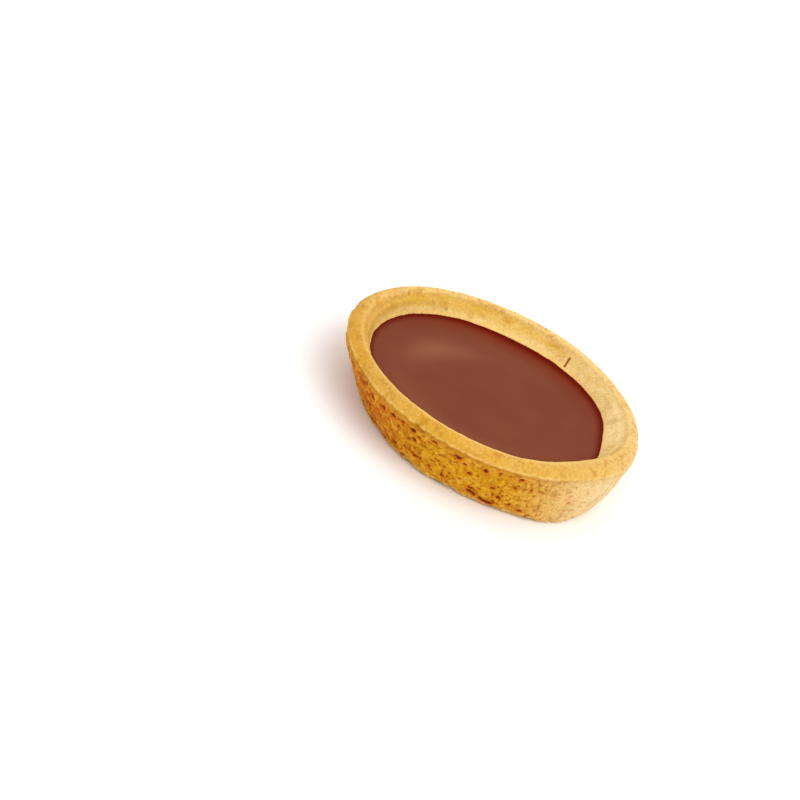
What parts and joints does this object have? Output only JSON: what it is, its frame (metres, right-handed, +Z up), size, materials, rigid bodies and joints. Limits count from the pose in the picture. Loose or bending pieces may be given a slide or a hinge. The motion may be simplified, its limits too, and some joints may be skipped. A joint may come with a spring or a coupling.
{
  "type": "chocolate tart",
  "caption": "Small round tart: a pitted golden biscuit shell with a smooth disc of set milk chocolate, a little below its rim.",
  "frame": {"origin": "on the underside of the base, below the middle of the rim", "axes": "+Z up through the tart's middle, +X towards the side where the wall stands tallest"},
  "size_m": [0.055, 0.0547, 0.0119],
  "materials": {
    "pastry": "dry, finely pitted baked biscuit",
    "chocolate": "smooth satin set milk chocolate"
  },
  "bodies": {
    "root": {"pastry_shell": "pastry", "chocolate_filling": "chocolate"}
  },
  "joints": []
}
